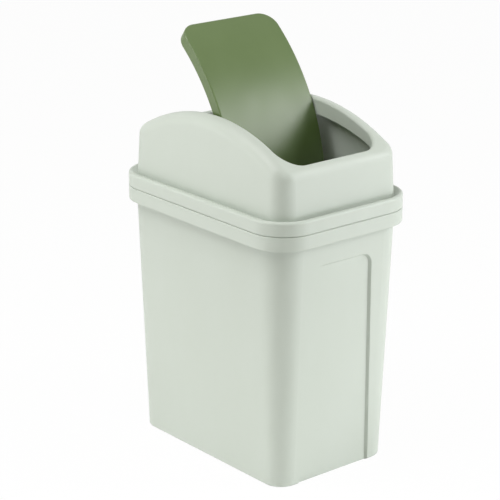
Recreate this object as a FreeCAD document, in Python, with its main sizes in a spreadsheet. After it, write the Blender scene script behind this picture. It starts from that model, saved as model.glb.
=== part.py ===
"""Swing-lid trash can: a tapered bucket, an arched lid hood and a rocking flap hung on two pins.

Millimetres. +Z is up, the origin is the centre of the base on the floor, +Y is the long way and
the short front face looks along -Y. The flap stands open, rear half up.
"""

import FreeCAD, Part
import math
import os
import re

import Sketcher
from FreeCAD import Placement, Rotation, Vector

doc = FreeCAD.newDocument("swing_lid_bin")
sheet = doc.addObject("Spreadsheet::Sheet", "Sizes")

# Driving sizes, one row each: name, millimetres or degrees
SIZES = [
    # Rim, shared by the bucket and the lid's skirt
    ("rim_half_width", 105.4),
    ("rim_half_length", 150.0),
    ("rim_corner", 44.2),
    ("seam_height", 308.4),
    ("rim_depth", 16.6),
    ("rim_wall", 2.2),
    ("rim_top_round", 0.9),
    ("rim_low_round", 0.6),
    # Bucket
    ("rim_overhang", 9.1),
    ("bucket_draft", 2.2),
    ("bucket_wall", 2.2),
    ("base_round", 2.5),
    ("floor_thickness", 2.6),
    ("floor_round", 5.0),
    ("foot_height", 3.0),
    ("foot_width", 9.0),
    # Recessed panel on each short face
    ("panel_head_gap", 27.4),
    ("panel_head_side", 50.6),
    ("panel_foot_side", 30.2),
    ("panel_depth", 3.2),
    ("panel_slope", 2.4),
    ("panel_corner", 14.0),
    ("panel_run_off", 6.0),
    # Lid skirt, the ledge on it that falls towards the hood, and the plug
    ("skirt_height", 17.0),
    ("skirt_round", 3.2),
    ("ledge_flat", 0.8),
    ("ledge_fall", 3.8),
    ("skirt_low_round", 0.5),
    ("seam_gap", 0.9),
    ("seam_gap_depth", 1.4),
    ("lid_wall", 2.2),
    ("plug_depth", 8.0),
    ("plug_clearance", 0.5),
    # Hood
    ("hood_inset", 12.9),
    ("hood_corner", 24.3),
    ("hood_draft", 3.0),
    ("hood_height", 106.4),
    ("hood_arch", 241.9),
    ("hood_round", 14.0),
    # Opening in the hood and its turned-down lip
    ("mouth_side_border", 22.9),
    ("mouth_end_border", 15.3),
    ("mouth_corner", 25.0),
    ("mouth_round", 3.4),
    ("lip_drop", 19.0),
    ("lip_flatter", 48.1),
    # Flap, drawn about its pivot
    ("open_angle", 64.1),
    ("flap_drop", 0.8),
    ("flap_rise", 9.0),
    ("flap_flatter", 14.1),
    ("flap_side_gap", 1.2),
    ("flap_end_gap", 1.6),
    ("flap_corner", 21.0),
    ("flap_depth", 12.3),
    ("flap_wall", 2.2),
    ("flap_round", 1.6),
    # Pivot pins, the bosses that hold them and the ears they turn in
    ("pin_radius", 3.0),
    ("pin_fit", 0.02),
    ("pivot_clearance", 0.08),
    ("ear_cover", 1.7),
    ("ear_length", 6.0),
    ("boss_radius", 7.0),
    ("boss_length", 6.0),
    ("pin_head_radius", 5.0),
    ("pin_head_length", 1.6),
    ("pin_overrun", 1.0),
    ("pin_tip", 0.6),
    # How far a cut stands past the face it runs through
    ("overrun", 1.0),
]


def fill_sheet():
    for row, (name, value) in enumerate(SIZES, start=1):
        sheet.set(f"A{row}", name)
        sheet.set(f"B{row}", str(value))
        sheet.setAlias(f"B{row}", name)
    doc.recompute()


def bound(formula):
    """The formula with each size's name written as a cell of the sheet."""
    names = {name for name, _ in SIZES}
    return re.sub(r"[a-z_]+", lambda word: f"Sizes.{word[0]}" if word[0] in names else word[0], formula)


def size(formula):
    """The value of a formula of sizes."""
    return float(sheet.evalExpression(bound(formula)))


def new_body(label):
    body = doc.addObject("PartDesign::Body", label)
    body.Label = label
    return body


def plane(body, role):
    return next(item for item in body.Origin.OriginFeatures if item.Role == role)


def new_sketch(body, name, role="XY_Plane", offset=None, tilt=None):
    """A sketch on one of the body's own planes, shifted along the normal and tilted about its X."""
    sketch = body.newObject("Sketcher::SketchObject", name)
    sketch.AttachmentSupport = [(plane(body, role), "")]
    sketch.MapMode = "FlatFace"
    if tilt:
        sketch.AttachmentOffset = Placement(Vector(), Rotation(Vector(1, 0, 0), size(tilt)))
        sketch.setExpression("AttachmentOffset.Rotation.Angle", bound(tilt))
    if offset:
        sketch.setExpression("AttachmentOffset.Base.z", bound(offset))
    return sketch


def bind(sketch, kind, *where):
    """Adds a dimension whose last argument is a formula."""
    index = sketch.addConstraint(Sketcher.Constraint(kind, *where[:-1], size(where[-1])))
    sketch.setExpression(f"Constraints[{index}]", bound(where[-1]))


def tie(sketch, kind, *where):
    sketch.addConstraint(Sketcher.Constraint(kind, *where))


def line(sketch, start, end):
    return sketch.addGeometry(Part.LineSegment(Vector(*start, 0), Vector(*end, 0)), False)


def arc(sketch, centre, radius, start, end):
    circle = Part.Circle(Vector(*centre, 0), Vector(0, 0, 1), radius)
    return sketch.addGeometry(Part.ArcOfCircle(circle, math.radians(start), math.radians(end)), False)


def rounded_loop(sketch, half_x, half_y, corner):
    """A rounded rectangle about the sketch's origin."""
    a, b, r = size(half_x), size(half_y), size(corner)
    south = line(sketch, (r - a, -b), (a - r, -b))
    arcs = [arc(sketch, (a - r, r - b), r, -90, 0)]
    east = line(sketch, (a, r - b), (a, b - r))
    arcs.append(arc(sketch, (a - r, b - r), r, 0, 90))
    north = line(sketch, (a - r, b), (r - a, b))
    arcs.append(arc(sketch, (r - a, b - r), r, 90, 180))
    west = line(sketch, (-a, b - r), (-a, r - b))
    arcs.append(arc(sketch, (r - a, r - b), r, 180, 270))
    ring = [south, arcs[0], east, arcs[1], north, arcs[2], west, arcs[3]]
    for here, following in zip(ring, ring[1:] + ring[:1]):
        tie(sketch, "Tangent", here, 2, following, 1)
    for flat in (south, north):
        tie(sketch, "Horizontal", flat)
    for upright in (east, west):
        tie(sketch, "Vertical", upright)
    for other in arcs[1:]:
        tie(sketch, "Equal", arcs[0], other)
    bind(sketch, "Radius", arcs[0], corner)
    bind(sketch, "DistanceX", -1, 1, east, 1, half_x)
    bind(sketch, "DistanceX", west, 1, -1, 1, half_x)
    bind(sketch, "DistanceY", -1, 1, north, 1, half_y)
    bind(sketch, "DistanceY", south, 1, -1, 1, half_y)


def rounded_sketch(body, name, offset, loops):
    sketch = new_sketch(body, name, offset=offset)
    for loop in loops:
        rounded_loop(sketch, *loop)
    return sketch


def grown(loop, by):
    """The same rounded rectangle, larger all round by a formula."""
    return tuple(f"{part} {by}" for part in loop)


def feature(body, kind, name, profile=None, **formulas):
    made = body.newObject(f"PartDesign::{kind}", name)
    if profile:
        made.Profile = profile
    for key, formula in formulas.items():
        made.setExpression(key, bound(formula))
    return made


def pad(body, name, sketch, length):
    return feature(body, "Pad", name, sketch, Length=length)


def pocket(body, name, sketch, length):
    """A cut upwards from a level sketch, which has to take material away."""
    doc.recompute()
    before = body.Shape.Volume
    cut = feature(body, "Pocket", name, sketch, Length=length)
    cut.Reversed = True
    doc.recompute()
    assert body.Shape.Volume < before, f"{name} cuts nothing"
    return cut


def drafted(body, name, sketch, length, draft, down=False):
    """A pad that draws in along its way, up or down."""
    made = pad(body, name, sketch, length)
    made.Reversed = down
    made.setExpression("TaperAngle", bound(f"0 - {draft}"))
    return made


def loft(body, kind, name, sketches):
    made = feature(body, kind, name, sketches[0])
    made.Sections = sketches[1:]
    made.Ruled = True
    return made


def fillet(body, name, wanted, radius):
    """Rounds the edges of the body's present shape that the test picks."""
    doc.recompute()
    base = body.Tip
    names = [f"Edge{i}" for i, edge in enumerate(base.Shape.Edges, start=1) if wanted(edge)]
    assert names, f"{name} finds no edge"
    made = feature(body, "Fillet", name, Radius=radius)
    made.Base = (base, names)
    doc.recompute()
    return made


def combine(body, kind, name, tool):
    made = body.newObject("PartDesign::Boolean", name)
    made.Type = kind
    made.setObjects([tool])
    doc.recompute()
    return made


def level(edge, height):
    """Whether an edge lies in the level plane at a height."""
    box = edge.BoundBox
    return abs(box.ZMin - height) < 1e-4 and abs(box.ZMax - height) < 1e-4


def reach(edge):
    """How far an edge reaches from the middle, along X and along Y."""
    box = edge.BoundBox
    return max(abs(box.XMin), abs(box.XMax)), max(abs(box.YMin), abs(box.YMax))


def outer_rim(edge, height):
    """Whether an edge runs round the outside of the rim at a height."""
    wide, long = reach(edge)
    outside = wide > size("rim_half_width") - 1 or long > size("rim_half_length") - 1
    return outside and level(edge, size(height))


RIM = ("rim_half_width", "rim_half_length", "rim_corner")
BUCKET_TOP = grown(RIM, "- rim_overhang")
INNER_FLOOR = "foot_height + floor_thickness"
RIM_FOOT = "seam_height - rim_depth"
LEDGE = "seam_height + skirt_height"
LEDGE_FOOT = f"{LEDGE} - ledge_fall"
HOOD = ("rim_half_width - hood_inset", "rim_half_length - hood_inset", "hood_corner")
APEX = "seam_height + hood_height"
MOUTH_WIDTH = f"{HOOD[0]} - mouth_side_border"
MOUTH_LENGTH = f"{HOOD[1]} - mouth_end_border"
MOUTH = (MOUTH_WIDTH, MOUTH_LENGTH, "mouth_corner")
FLAP_ARCH = "hood_arch + flap_flatter"
FLAP_WIDTH = f"{MOUTH_WIDTH} - flap_side_gap"
FLAP_LENGTH = f"{MOUTH_LENGTH} - flap_end_gap"
PIVOT = f"{APEX} - flap_drop - flap_rise"
EAR_RADIUS = "flap_drop + flap_rise - ear_cover"


def leaned(height):
    """How far the bucket's wall has drawn in at a height, from where it meets the seam."""
    return f"(seam_height - ({height})) * tan(bucket_draft)"


def panel_outline(body, name, inward, shrink):
    """The panel's outline on a plane set inward from the leaning face. Its foot runs off the base."""
    face = f"rim_half_length - rim_overhang - {leaned(0)}"
    sketch = new_sketch(body, name, "XZ_Plane", f"{face} - ({inward})", "bucket_draft * 1 deg")
    top_of_panel = f"{RIM_FOOT} - panel_head_gap"
    foot = f"{BUCKET_TOP[0]} - {leaned(0)} - panel_foot_side - ({shrink})"
    corner = f"panel_corner - ({shrink})"
    middle = f"{BUCKET_TOP[0]} - {leaned(top_of_panel)} - panel_head_side - panel_corner"
    head = f"{top_of_panel} - ({shrink})"
    a, r, m, h, low = (size(part) for part in (foot, corner, middle, head, "panel_run_off"))
    sill = line(sketch, (-a, -low), (a, -low))
    right = line(sketch, (a, -low), (m + r, h - r))
    turn_right = arc(sketch, (m, h - r), r, 0, 90)
    top = line(sketch, (m, h), (-m, h))
    turn_left = arc(sketch, (-m, h - r), r, 90, 180)
    left = line(sketch, (-m - r, h - r), (-a, -low))
    tie(sketch, "Coincident", sill, 2, right, 1)
    tie(sketch, "Coincident", left, 2, sill, 1)
    for here, following in ((right, turn_right), (turn_right, top), (top, turn_left), (turn_left, left)):
        tie(sketch, "Tangent", here, 2, following, 1)
    tie(sketch, "Horizontal", top)
    tie(sketch, "Horizontal", sill)
    tie(sketch, "Equal", turn_right, turn_left)
    bind(sketch, "Radius", turn_right, corner)
    bind(sketch, "DistanceX", -1, 1, turn_right, 3, middle)
    bind(sketch, "DistanceX", turn_left, 3, -1, 1, middle)
    bind(sketch, "DistanceX", -1, 1, sill, 2, foot)
    bind(sketch, "DistanceX", sill, 1, -1, 1, foot)
    bind(sketch, "DistanceY", -1, 1, top, 1, head)
    bind(sketch, "DistanceY", sill, 1, -1, 1, "panel_run_off")
    return sketch


def cut_panels(body, inset):
    """The sloped recess on the front face and its mirror on the rear, both moved in by an inset."""
    flare = "panel_slope / panel_depth * overrun"
    mouth = panel_outline(body, f"{body.Name}_panel_mouth", f"{inset} - overrun", f"0 - {flare} - {inset}")
    bed = panel_outline(body, f"{body.Name}_panel_bed", f"{inset} + panel_depth", f"panel_slope - {inset}")
    front = loft(body, "SubtractiveLoft", f"{body.Name}_front_panel", [mouth, bed])
    mirror(body, f"{body.Name}_rear_panel", front, "XZ_Plane")


def mirror(body, name, original, role):
    doc.recompute()
    made = body.newObject("PartDesign::Mirrored", name)
    made.Originals = [original]
    made.MirrorPlane = (plane(body, role), [""])
    body.Tip = made
    doc.recompute()
    return made


def bucket_void():
    """The room inside the bucket, as a tool that stands a little proud of the seam."""
    void = new_body("bucket_void")
    top = "seam_height + overrun"
    mouth = rounded_sketch(void, "void_outline", top, [grown(BUCKET_TOP, f"- bucket_wall - {leaned(top)}")])
    drafted(void, "void_room", mouth, f"{top} - ({INNER_FLOOR})", "bucket_draft", down=True)
    fillet(void, "void_floor_round", lambda edge: level(edge, size(INNER_FLOOR)), "floor_round")
    cut_panels(void, "bucket_wall")
    return void


def bucket():
    body = new_body("bucket")
    top = rounded_sketch(body, "tub_outline", "seam_height", [BUCKET_TOP])
    drafted(body, "tub", top, "seam_height", "bucket_draft", down=True)
    fillet(body, "tub_foot_round", lambda edge: level(edge, 0), "base_round")
    pad(body, "rim", rounded_sketch(body, "rim_outline", RIM_FOOT, [RIM]), "rim_depth")
    channel = [grown(RIM, "- rim_wall"), BUCKET_TOP]
    pocket(body, "rim_channel", rounded_sketch(body, "rim_channel_outline", RIM_FOOT, channel),
           "rim_depth - rim_wall")
    cut_panels(body, "0")
    combine(body, "Cut", "hollow", bucket_void())
    foot = rounded_sketch(body, "foot_outline", "0", [grown(BUCKET_TOP, f"- foot_width - {leaned(0)}")])
    pocket(body, "foot_recess", foot, "foot_height")
    fillet(body, "rim_top_edge", lambda edge: outer_rim(edge, "seam_height"), "rim_top_round")
    fillet(body, "rim_low_edge", lambda edge: outer_rim(edge, RIM_FOOT), "rim_low_round")
    return body


def arch_region(body, name, apex, radius, limit):
    """The region between an arch along Y and a level limit above or below it."""
    sketch = new_sketch(body, name, "YZ_Plane")
    span = f"{HOOD[1]} + overrun"
    w, r, z, end = size(span), size(radius), size(apex), size(limit)
    side = z - r + math.sqrt(r * r - w * w)
    start = math.degrees(math.acos(w / r))
    bow = arc(sketch, (0, z - r), r, start, 180 - start)
    left = line(sketch, (-w, side), (-w, end))
    flat = line(sketch, (-w, end), (w, end))
    right = line(sketch, (w, end), (w, side))
    tie(sketch, "Coincident", bow, 2, left, 1)
    tie(sketch, "Coincident", left, 2, flat, 1)
    tie(sketch, "Coincident", flat, 2, right, 1)
    tie(sketch, "Coincident", right, 2, bow, 1)
    tie(sketch, "Vertical", left)
    tie(sketch, "Vertical", right)
    tie(sketch, "Horizontal", flat)
    tie(sketch, "PointOnObject", bow, 3, -2)
    bind(sketch, "Radius", bow, radius)
    bind(sketch, "DistanceY", -1, 1, bow, 3, f"{apex} - ({radius})")
    bind(sketch, "DistanceX", -1, 1, right, 1, span)
    bind(sketch, "DistanceX", left, 1, -1, 1, span)
    bind(sketch, "DistanceY", -1, 1, flat, 1, limit)
    return sketch


def both_sides(made):
    made.SideType = "Symmetric"
    return made


def cut_arch(body, name, apex, radius, limit):
    region = arch_region(body, f"{name}_region", apex, radius, limit)
    cut = feature(body, "Pocket", name, region, Length="2 * rim_half_width")
    both_sides(cut)
    doc.recompute()
    return cut


def on_arch(edge, apex, radius):
    """Whether an edge lies on an arch of a given apex and radius."""
    centre = size(apex) - size(radius)
    points = edge.discretize(5)
    return all(abs(math.hypot(p.y, p.z - centre) - size(radius)) < 1e-3 for p in points)


def skirt(body):
    """The skirt. Its top is a rounded edge, then a ledge that falls to the hood's foot."""
    outline = rounded_sketch(body, "skirt_outline", "seam_height", [RIM])
    pad(body, "skirt", outline, "skirt_height")
    crown = rounded_sketch(body, "ledge_crown", LEDGE, [grown(RIM, "- skirt_round - ledge_flat")])
    foot = rounded_sketch(body, "ledge_foot", LEDGE_FOOT, [HOOD])
    loft(body, "SubtractiveLoft", "ledge_slope", [crown, foot])
    fillet(body, "skirt_edge", lambda edge: outer_rim(edge, LEDGE), "skirt_round")


def dome(body, name, inset):
    """Arched dome of the lid, set in by an inset: the outside at 0, the inside at the wall."""
    wall = rounded_sketch(body, f"{name}_wall_outline", "seam_height", [grown(HOOD, f"- ({inset})")])
    drafted(body, f"{name}_walls", wall, "hood_height + overrun", "hood_draft")
    apex, radius = f"{APEX} - ({inset})", f"hood_arch - ({inset})"
    doc.recompute()
    cut_arch(body, f"{name}_arch", apex, radius, f"{APEX} + 2 * overrun")
    fillet(body, f"{name}_shoulder", lambda edge: on_arch(edge, apex, radius), f"hood_round - ({inset})")


def mouth_lip():
    """The turned-down lip round the opening, as a tool."""
    lip = new_body("mouth_lip")
    ring = rounded_sketch(lip, "lip_outline", LEDGE, [grown(MOUTH, "+ lid_wall"), MOUTH])
    pad(lip, "lip_ring", ring, "hood_height - skirt_height")
    doc.recompute()
    inside = "lid_wall / 2"
    cut_arch(lip, "lip_top", f"{APEX} - {inside}", f"hood_arch - {inside}", f"{APEX} + 2 * overrun")
    cut_arch(lip, "lip_foot", f"{APEX} - lip_drop", "hood_arch + lip_flatter", f"{LEDGE} - overrun")
    return lip


def disc(body, name, offset, height, radius):
    """A round outline about the pivot's line, on a plane across X."""
    sketch = new_sketch(body, name, "YZ_Plane", offset)
    ring = sketch.addGeometry(Part.Circle(Vector(0, size(height), 0), Vector(0, 0, 1), size(radius)), False)
    tie(sketch, "PointOnObject", ring, 3, -2)
    bind(sketch, "Radius", ring, radius)
    if size(height):
        bind(sketch, "DistanceY", -1, 1, ring, 3, height)
    else:
        tie(sketch, "PointOnObject", ring, 3, -1)
    return sketch


def pivot_pair(body, name, start, length, height, radius, bore):
    """A boss on each side of the body, bored along the pivot's line."""
    boss = pad(body, name, disc(body, f"{name}_outline", start, height, radius), length)
    mirror(body, f"{name}_pair", boss, "YZ_Plane")
    hole = disc(body, f"{name}_bore_outline", "", height, bore)
    both_sides(feature(body, "Pocket", f"{name}_bore", hole, Length=f"2 * ({start} + {length} + overrun)"))
    doc.recompute()


def lid_void():
    """The room inside the lid, as a tool."""
    void = new_body("lid_void")
    room = rounded_sketch(void, "skirt_room_outline", "seam_height", [grown(RIM, "- lid_wall")])
    pad(void, "skirt_room", room, "skirt_height - ledge_fall - lid_wall")
    dome(void, "inside", "lid_wall")
    return void


def lid_hood():
    body = new_body("lid_hood")
    skirt(body)
    dome(body, "hood", "0")
    combine(body, "Cut", "lid_hollow", lid_void())
    plug_outer = grown(BUCKET_TOP, f"- bucket_wall - plug_clearance - {leaned('seam_height - plug_depth')}")
    plug = rounded_sketch(body, "plug_outline", "seam_height - plug_depth",
                          [plug_outer, grown(plug_outer, "- lid_wall")])
    pad(body, "plug", plug, "skirt_height - ledge_fall + plug_depth")
    mouth = rounded_sketch(body, "mouth_outline", LEDGE, [MOUTH])
    pocket(body, "mouth", mouth, "hood_height - skirt_height")
    combine(body, "Fuse", "lipped", mouth_lip())
    pivot_pair(body, "ear", MOUTH_WIDTH, "ear_length", PIVOT, EAR_RADIUS,
               "pin_radius + pivot_clearance")
    rim_of_mouth = size(f"{MOUTH_LENGTH} + overrun")

    def crest(edge):
        return on_arch(edge, APEX, "hood_arch") and reach(edge)[1] < rim_of_mouth

    fillet(body, "mouth_edge", crest, "mouth_round")
    step = [grown(RIM, "+ overrun"), grown(RIM, "- seam_gap_depth")]
    pocket(body, "seam_step", rounded_sketch(body, "seam_step_outline", "seam_height", step), "seam_gap")
    skirt_foot = "seam_height + seam_gap"
    fillet(body, "skirt_low_edge", lambda edge: outer_rim(edge, skirt_foot), "skirt_low_round")
    return body


def arched_slab(body, name, arch, deep, half_width, half_length, corner):
    """A slab that follows the flap's arch, with ends square to it and rounded corners."""
    sketch = new_sketch(body, f"{name}_side", "YZ_Plane")
    centre = f"{FLAP_ARCH} - flap_rise"
    c, big, small, half = size(centre), size(arch), size(deep), size(half_length)
    turn = math.asin(half / big)
    tilt = 90 - math.degrees(turn)
    face = arc(sketch, (0, -c), big, tilt, 180 - tilt)
    back = arc(sketch, (0, -c), small, tilt, 180 - tilt)
    ends = []
    for sign, point in ((1, 1), (-1, 2)):
        outer = (sign * big * math.sin(turn), big * math.cos(turn) - c)
        inner = (sign * small * math.sin(turn), small * math.cos(turn) - c)
        end = line(sketch, outer, inner)
        tie(sketch, "Coincident", face, point, end, 1)
        tie(sketch, "Coincident", back, point, end, 2)
        ends.append(end)
    tie(sketch, "Coincident", face, 3, back, 3)
    tie(sketch, "PointOnObject", face, 3, -2)
    for end in ends:
        tie(sketch, "PointOnObject", face, 3, end)
    bind(sketch, "DistanceY", face, 3, -1, 1, centre)
    bind(sketch, "Radius", face, arch)
    bind(sketch, "Radius", back, deep)
    bind(sketch, "DistanceX", -1, 1, face, 1, half_length)
    bind(sketch, "DistanceX", face, 2, -1, 1, half_length)
    both_sides(pad(body, name, sketch, f"2 * ({half_width})"))

    def corner_edge(edge):
        straight = isinstance(edge.Curve, Part.Line)
        return straight and edge.BoundBox.XLength < 1e-6

    fillet(body, f"{name}_corners", corner_edge, corner)


def swing_flap():
    body = new_body("swing_flap")
    arched_slab(body, "flap_slab", FLAP_ARCH, f"{FLAP_ARCH} - flap_depth",
                FLAP_WIDTH, FLAP_LENGTH, "flap_corner")
    void = new_body("flap_void")
    arched_slab(void, "flap_hollow", f"{FLAP_ARCH} - flap_wall", f"{FLAP_ARCH} - flap_depth - overrun",
                f"{FLAP_WIDTH} - flap_wall", f"{FLAP_LENGTH} - flap_wall", "flap_corner - flap_wall")
    combine(body, "Cut", "flap_shell", void)
    fillet(body, "flap_edge", lambda edge: on_arch(edge, "flap_rise", FLAP_ARCH), "flap_round")
    pivot_pair(body, "boss", f"{FLAP_WIDTH} - boss_length", "boss_length", "0", "boss_radius",
               "pin_radius + pin_fit")
    body.Placement = Placement(Vector(), Rotation(Vector(1, 0, 0), size("open_angle")))
    body.setExpression("Placement.Rotation.Angle", bound("open_angle * 1 deg"))
    body.setExpression("Placement.Base.z", bound(PIVOT))
    return body


def pivot_pin(label, turned):
    """A headed pin: its head sits inside the flap's boss and its end runs through the hood's ear."""
    body = new_body(label)
    sketch = new_sketch(body, f"{label}_profile", "XZ_Plane")
    seat = f"{FLAP_WIDTH} - boss_length"
    tip = f"{MOUTH_WIDTH} + ear_length + pin_overrun"
    head = f"{seat} - pin_head_length"
    x0, x1, x2 = size(head), size(seat), size(tip)
    big, small, bevel = size("pin_head_radius"), size("pin_radius"), size("pin_tip")
    shank_end = [(x2 - bevel, small), (x2, small - bevel), (x2, 0)]
    corners = [(x0, 0), (x0, big), (x1, big), (x1, small)] + shank_end
    sides = [line(sketch, here, following) for here, following in zip(corners, corners[1:] + corners[:1])]
    for here, following in zip(sides, sides[1:] + sides[:1]):
        tie(sketch, "Coincident", here, 2, following, 1)
    for upright in (0, 2, 5):
        tie(sketch, "Vertical", sides[upright])
    for flat in (1, 3):
        tie(sketch, "Horizontal", sides[flat])
    tie(sketch, "PointOnObject", sides[0], 1, -1)
    tie(sketch, "PointOnObject", sides[5], 2, -1)
    bind(sketch, "DistanceX", -1, 1, sides[0], 1, head)
    bind(sketch, "DistanceX", -1, 1, sides[2], 1, seat)
    bind(sketch, "DistanceX", -1, 1, sides[5], 1, tip)
    bind(sketch, "DistanceY", -1, 1, sides[1], 1, "pin_head_radius")
    bind(sketch, "DistanceY", -1, 1, sides[3], 1, "pin_radius")
    bind(sketch, "DistanceX", sides[4], 1, sides[4], 2, "pin_tip")
    bind(sketch, "DistanceY", sides[4], 2, sides[4], 1, "pin_tip")
    turn = feature(body, "Revolution", f"{label}_turned", sketch)
    turn.ReferenceAxis = (sketch, ["H_Axis"])
    body.Placement = Placement(Vector(), Rotation(Vector(0, 0, 1), turned))
    body.setExpression("Placement.Base.z", bound(PIVOT))
    return body


def write(pieces):
    doc.recompute()
    for item in doc.Objects:
        bad = [word for word in item.State if word in ("Invalid", "Error")]
        assert not bad, f"{item.Name}: {item.State}"
    for piece in pieces:
        shape = piece.Shape
        assert not shape.isNull() and shape.isValid() and len(shape.Solids) == 1, piece.Label
        print(piece.Label, round(shape.Volume / 1000, 1), "cm3")
    os.makedirs("parts", exist_ok=True)
    for piece in pieces:
        piece.Shape.exportStep(f"parts/{piece.Label}.step")


fill_sheet()
write([
    bucket(),
    lid_hood(),
    swing_flap(),
    pivot_pin("right_pivot_pin", 0),
    pivot_pin("left_pivot_pin", 180),
])
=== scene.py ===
# %% [markdown]
# # A swing-lid trash can, dressed for a studio picture
#
# The can is three plastic mouldings and two pins: a tapered bucket, an arched hood that sits on its
# rim, and a curved flap that rocks on the pins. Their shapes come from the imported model, which is
# loaded first and stays where it is. What is left to make here is how the plastic looks, the light
# and the camera.

import math

import bpy
from mathutils import Matrix, Vector

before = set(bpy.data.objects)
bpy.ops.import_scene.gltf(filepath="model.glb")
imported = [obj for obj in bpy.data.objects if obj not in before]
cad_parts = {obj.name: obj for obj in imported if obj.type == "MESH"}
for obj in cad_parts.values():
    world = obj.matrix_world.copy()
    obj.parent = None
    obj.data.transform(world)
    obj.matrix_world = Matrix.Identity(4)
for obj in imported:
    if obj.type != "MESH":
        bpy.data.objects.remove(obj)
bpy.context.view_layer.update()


print("nodes:", sorted(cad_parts))

# %% [markdown]
# ## A helper for node trees
#
# Each finish is a small graph of nodes. Writing the graph as a list of calls reads best when one
# helper makes a node, sets its values and joins its inputs in one go. The other way would be three
# lines for every node, which hides what the graph does.

# %% Make and join nodes


def add(tree, kind, inputs=None, **settings):
    """A node of a kind: settings are its own properties, inputs are values or sockets to join from."""
    node = tree.nodes.new(kind)
    for name, value in settings.items():
        setattr(node, name, value)
    for key, value in (inputs or {}).items():
        if isinstance(value, bpy.types.NodeSocket):
            tree.links.new(value, node.inputs[key])
        else:
            node.inputs[key].default_value = value
    return node


def group_with(name, inputs, outputs):
    """An empty shader group with named sockets, and its inner input and output nodes."""
    tree = bpy.data.node_groups.new(name, "ShaderNodeTree")
    for label, kind, value in inputs:
        socket = tree.interface.new_socket(label, in_out="INPUT", socket_type=kind)
        socket.default_value = value
    for label, kind in outputs:
        tree.interface.new_socket(label, in_out="OUTPUT", socket_type=kind)
    return tree, tree.nodes.new("NodeGroupInput").outputs, tree.nodes.new("NodeGroupOutput")


print("helpers ready")

# %% [markdown]
# ## The moulded skin
#
# A polypropylene moulding copies the tool it came from. Tool makers etch or spark the steel, so the
# part has a fine even grain that takes the shine off. As the melt fills the tool it also leaves faint
# clouds, a little paler or deeper than the rest, and they run up the wall from the gate in the base.
# Grain could be modelled as real bumps, but it is under a tenth of a millimetre high, so a bump in the
# material is the right tool. Both plastics share it, so it is one group with its own values in each.

# %% Build the moulded skin
CLOUD_STRETCH = (1.0, 1.0, 0.35)
CLOUD_SCALE = 14.0
CLOUD_LOW = 0.35
CLOUD_HIGH = 0.65
PIT_SHARE = 0.5


def moulded_skin():
    """Colour, roughness and height of a moulded plastic skin."""
    tree, given, result = group_with(
        "moulded_skin",
        [
            ("Plastic", "NodeSocketColor", (0.5, 0.5, 0.5, 1.0)),
            ("Cloud", "NodeSocketColor", (0.5, 0.5, 0.5, 1.0)),
            ("Cloud Amount", "NodeSocketFloat", 0.2),
            ("Gloss", "NodeSocketFloat", 0.45),
            ("Gloss Change", "NodeSocketFloat", 0.05),
            ("Grain Size", "NodeSocketFloat", 900.0),
        ],
        [
            ("Color", "NodeSocketColor"),
            ("Roughness", "NodeSocketFloat"),
            ("Height", "NodeSocketFloat"),
        ],
    )
    place = add(tree, "ShaderNodeTexCoord").outputs["Object"]
    drawn = add(tree, "ShaderNodeMapping", {"Vector": place, "Scale": CLOUD_STRETCH})
    cloud = add(tree, "ShaderNodeTexNoise",
                {"Vector": drawn.outputs[0], "Scale": CLOUD_SCALE, "Detail": 3.0, "Roughness": 0.55})
    soft = add(tree, "ShaderNodeMapRange",
               {"Value": cloud.outputs["Fac"], "From Min": CLOUD_LOW, "From Max": CLOUD_HIGH},
               interpolation_type="SMOOTHSTEP")
    share = add(tree, "ShaderNodeMath", {0: soft.outputs["Result"], 1: given["Cloud Amount"]},
                operation="MULTIPLY")
    colour = add(tree, "ShaderNodeMix",
                 {"Factor": share.outputs[0], "A": given["Plastic"], "B": given["Cloud"]},
                 data_type="RGBA")
    grain = add(tree, "ShaderNodeTexNoise",
                {"Vector": place, "Scale": given["Grain Size"], "Detail": 2.0, "Roughness": 0.5})
    pits = add(tree, "ShaderNodeTexVoronoi",
               {"Vector": place, "Scale": given["Grain Size"]}, feature="SMOOTH_F1")
    height = add(tree, "ShaderNodeMath",
                 {0: pits.outputs["Distance"], 1: PIT_SHARE, 2: grain.outputs["Fac"]},
                 operation="MULTIPLY_ADD")
    centred = add(tree, "ShaderNodeMath", {0: soft.outputs["Result"], 1: 0.5}, operation="SUBTRACT")
    gloss = add(tree, "ShaderNodeMath",
                {0: centred.outputs[0], 1: given["Gloss Change"], 2: given["Gloss"]},
                operation="MULTIPLY_ADD")
    tree.links.new(colour.outputs["Result"], result.inputs["Color"])
    tree.links.new(gloss.outputs[0], result.inputs["Roughness"])
    tree.links.new(height.outputs[0], result.inputs["Height"])
    return tree


skin = moulded_skin()
print("group:", skin.name, "with", len(skin.nodes), "nodes")

# %% [markdown]
# ## The two plastics
#
# The bucket and hood are one pale sage green. The flap and its pins are a deep olive green, a touch
# glossier, so the soft boxes lie on its curve as a milky sheen. Each is a Principled shader fed by
# the moulded skin. A flat colour would be quicker and would look like paper.

# %% Build the two plastics
BUMP_STRENGTH = 0.25


def plastic(name, values, grain_depth, index):
    """A moulded plastic: the skin group feeds colour, roughness and bump of one shader."""
    material = bpy.data.materials.new(name)
    material.use_nodes = True
    tree = material.node_tree
    tree.nodes.clear()
    skin_node = add(tree, "ShaderNodeGroup", node_tree=skin)
    for key, value in values.items():
        skin_node.inputs[key].default_value = value
    bump = add(tree, "ShaderNodeBump",
               {"Strength": BUMP_STRENGTH,
                "Distance": grain_depth,
                "Height": skin_node.outputs["Height"]})
    shader = add(tree, "ShaderNodeBsdfPrincipled",
                 {"Base Color": skin_node.outputs["Color"],
                  "Roughness": skin_node.outputs["Roughness"],
                  "Normal": bump.outputs["Normal"],
                  "IOR": index})
    surface = add(tree, "ShaderNodeOutputMaterial")
    tree.links.new(shader.outputs[0], surface.inputs["Surface"])
    return material


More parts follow.
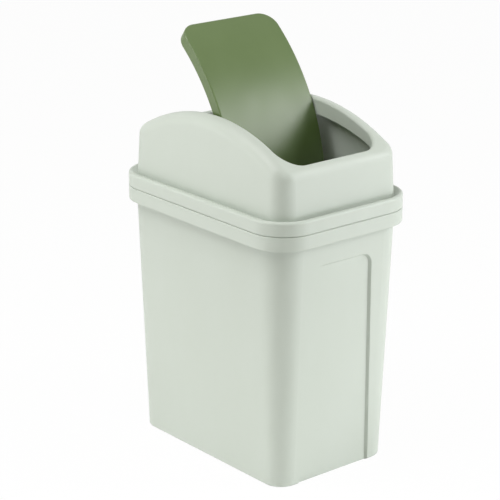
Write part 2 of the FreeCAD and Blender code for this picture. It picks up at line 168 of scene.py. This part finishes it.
PALE_SAGE = {
    "Plastic": (0.549, 0.592, 0.541, 1.0),
    "Cloud": (0.564, 0.605, 0.560, 1.0),
    "Cloud Amount": 0.5,
    "Gloss": 0.46,
    "Gloss Change": 0.05,
    "Grain Size": 1400.0,
}
DEEP_OLIVE = {
    "Plastic": (0.099, 0.152, 0.045, 1.0),
    "Cloud": (0.109, 0.163, 0.054, 1.0),
    "Cloud Amount": 0.6,
    "Gloss": 0.37,
    "Gloss Change": 0.06,
    "Grain Size": 1400.0,
}
pale_sage = plastic("pale_sage_plastic", PALE_SAGE, grain_depth=0.00006, index=1.5)
deep_olive = plastic("deep_olive_plastic", DEEP_OLIVE, grain_depth=0.00005, index=1.53)
FINISH = {
    "bucket": pale_sage,
    "lid_hood": pale_sage,
    "swing_flap": deep_olive,
    "left_pivot_pin": deep_olive,
    "right_pivot_pin": deep_olive,
}
for node, material in FINISH.items():
    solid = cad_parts[node]
    for slot in solid.material_slots:
        slot.material = material
    print(node, "is", material.name, "with", len(solid.data.polygons), "faces")

# %% [markdown]
# ## Floor and backdrop
#
# The can stands on a seamless white sweep. The floor is one large plane. Rays from the camera see it
# nearly white, with part of its real shading left in, so the can keeps a faint shadow. All other rays
# see a plain pale floor, which throws soft light up on to the walls. The world does the same: white
# to the camera and in reflections, a dim fill to everything else. The fill has a little green in it,
# because in a shaded hollow of a green can most of the light has already met green plastic.

# %% Build the floor and the world
FLOOR_HALF = 6.0
FLOOR_ALBEDO = 0.95
FLOOR_GLOW = 0.97
FILL = (0.176, 0.184, 0.135, 1.0)
CLEAR_WHITE = (1.0, 1.0, 1.0, 1.0)


def seen_directly(tree):
    """1 for rays from the camera, from reflections and through glass, else 0."""
    path = add(tree, "ShaderNodeLightPath").outputs
    first = add(tree, "ShaderNodeMath", {0: path["Is Camera Ray"], 1: path["Is Glossy Ray"]},
                operation="MAXIMUM")
    both = add(tree, "ShaderNodeMath", {0: first.outputs[0], 1: path["Is Transmission Ray"]},
               operation="MAXIMUM")
    return both.outputs[0]


def white_floor():
    """A floor that the camera sees nearly white and all other rays see as pale and matt."""
    material = bpy.data.materials.new("white_floor")
    material.use_nodes = True
    tree = material.node_tree
    tree.nodes.clear()
    pale = (FLOOR_ALBEDO, FLOOR_ALBEDO, FLOOR_ALBEDO, 1.0)
    matt = add(tree, "ShaderNodeBsdfDiffuse", {"Color": pale})
    glow = add(tree, "ShaderNodeEmission", {"Strength": 1.0})
    share = add(tree, "ShaderNodeMath", {0: seen_directly(tree), 1: FLOOR_GLOW}, operation="MULTIPLY")
    mixed = add(tree, "ShaderNodeMixShader",
                {0: share.outputs[0], 1: matt.outputs[0], 2: glow.outputs[0]})
    surface = add(tree, "ShaderNodeOutputMaterial")
    tree.links.new(mixed.outputs[0], surface.inputs["Surface"])
    return material


corners = [(-FLOOR_HALF, -FLOOR_HALF, 0), (FLOOR_HALF, -FLOOR_HALF, 0),
           (FLOOR_HALF, FLOOR_HALF, 0), (-FLOOR_HALF, FLOOR_HALF, 0)]
sheet = bpy.data.meshes.new("floor")
sheet.from_pydata(corners, [], [(0, 1, 2, 3)])
sheet.materials.append(white_floor())
floor = bpy.data.objects.new("floor", sheet)
bpy.context.scene.collection.objects.link(floor)

world = bpy.data.worlds.new("studio")
bpy.context.scene.world = world
world.use_nodes = True
sky = world.node_tree
sky.nodes.clear()
seen = add(sky, "ShaderNodeMix", {"Factor": seen_directly(sky), "A": FILL, "B": CLEAR_WHITE},
           data_type="RGBA")
backdrop = add(sky, "ShaderNodeBackground", {"Color": seen.outputs["Result"], "Strength": 1.0})
sky_out = add(sky, "ShaderNodeOutputWorld")
sky.links.new(backdrop.outputs[0], sky_out.inputs["Surface"])
print("floor", 2 * FLOOR_HALF, "m wide, fill", FILL)

# %% [markdown]
# ## Soft boxes
#
# Large soft boxes stand left and right of the camera, almost square to its line of sight. Each side
# lights one face of the can, and the rounded edge between the faces gets little of either, so it
# reads as a darker band. A lamp by the camera would flatten that. The upper right box also lies in
# the flap's curve as its sheen. Two boxes above light the hood's arches, and a faint low card shows
# up the foot. The walls lean in towards the floor and would fall off in tone there, so two narrow
# strips aimed at the foot even them out.

# %% Place the soft boxes
AIM = Vector((0.0, 0.0, 0.25))
FOOT = Vector((0.0, 0.0, 0.06))
WHITE = (1.0, 1.0, 1.0)
COOL_WHITE = (0.975, 0.985, 1.0)
ALL_ROUND = 180.0
NARROW = 45.0


def soft_box(name, heading, rise, distance, wide, tall, watts, tint=WHITE, aim=AIM, spread=ALL_ROUND):
    """A rectangular lamp turned to the can. Heading, from +Y, rise and spread are in degrees."""
    lamp = bpy.data.lights.new(name, "AREA")
    lamp.shape = "RECTANGLE"
    lamp.size = wide
    lamp.size_y = tall
    lamp.energy = watts
    lamp.color = tint
    lamp.spread = math.radians(spread)
    turn = math.radians(heading)
    lift = math.radians(rise)
    away = Vector((math.sin(turn) * math.cos(lift), math.cos(turn) * math.cos(lift), math.sin(lift)))
    box = bpy.data.objects.new(name, lamp)
    box.location = aim + away * distance
    box.rotation_euler = (-away).to_track_quat("-Z", "Y").to_euler()
    box.visible_camera = False
    bpy.context.scene.collection.objects.link(box)
    return box


soft_box("left_soft_box", heading=-63.0, rise=4.0, distance=1.5, wide=1.2, tall=0.8, watts=7.5)
soft_box("left_high_box", heading=-78.0, rise=58.0, distance=1.5, wide=0.8, tall=0.8, watts=12.4)
soft_box("overhead_box", heading=-105.0, rise=82.0, distance=2.2, wide=1.0, tall=1.0, watts=6.0)
soft_box("right_soft_box", heading=136.0, rise=26.0, distance=1.5, wide=0.55, tall=0.65, watts=10.0,
         tint=COOL_WHITE)
soft_box("right_low_box", heading=148.0, rise=0.0, distance=1.5, wide=1.0, tall=0.4, watts=6.5,
         tint=COOL_WHITE)
soft_box("low_card", heading=-140.0, rise=-11.5, distance=0.9, wide=1.8, tall=0.3, watts=0.5)
for name, heading in (("left_foot_strip", -75.0), ("right_foot_strip", 150.0)):
    soft_box(name, heading, rise=1.0, distance=0.9, wide=1.0, tall=0.12, watts=0.14, aim=FOOT,
             spread=NARROW)

# %% [markdown]
# ## Camera
#
# The camera has a long lens. It stands about 2.4 metres off, looks down nineteen degrees and is turned
# forty degrees round, so both faces and the edge between them show. Its distance and its lens were
# fitted together, because they set how fast the upright edges lean in.

# %% Place the camera
IMAGE_WIDTH = 500.0
FOCAL_PIXELS = 1989.045
SENSOR = 36.0
HEADING = -39.994
LOOK_DOWN = 18.689
ROLL = 0.232
PLACE = Vector((-1.43599, -1.68777, 0.98857))
FAR_CLIP = 50.0

lens = bpy.data.cameras.new("camera")
lens.sensor_fit = "HORIZONTAL"
lens.sensor_width = SENSOR
lens.lens = FOCAL_PIXELS / IMAGE_WIDTH * SENSOR
lens.clip_end = FAR_CLIP
camera = bpy.data.objects.new("camera", lens)
camera.matrix_world = (
    Matrix.Translation(PLACE)
    @ Matrix.Rotation(math.radians(HEADING), 4, "Z")
    @ Matrix.Rotation(math.radians(90.0 - LOOK_DOWN), 4, "X")
    @ Matrix.Rotation(math.radians(ROLL), 4, "Z")
)
bpy.context.scene.collection.objects.link(camera)
bpy.context.scene.camera = camera
bpy.context.scene.view_settings.view_transform = "Standard"
print("lens", round(lens.lens, 1), "mm")
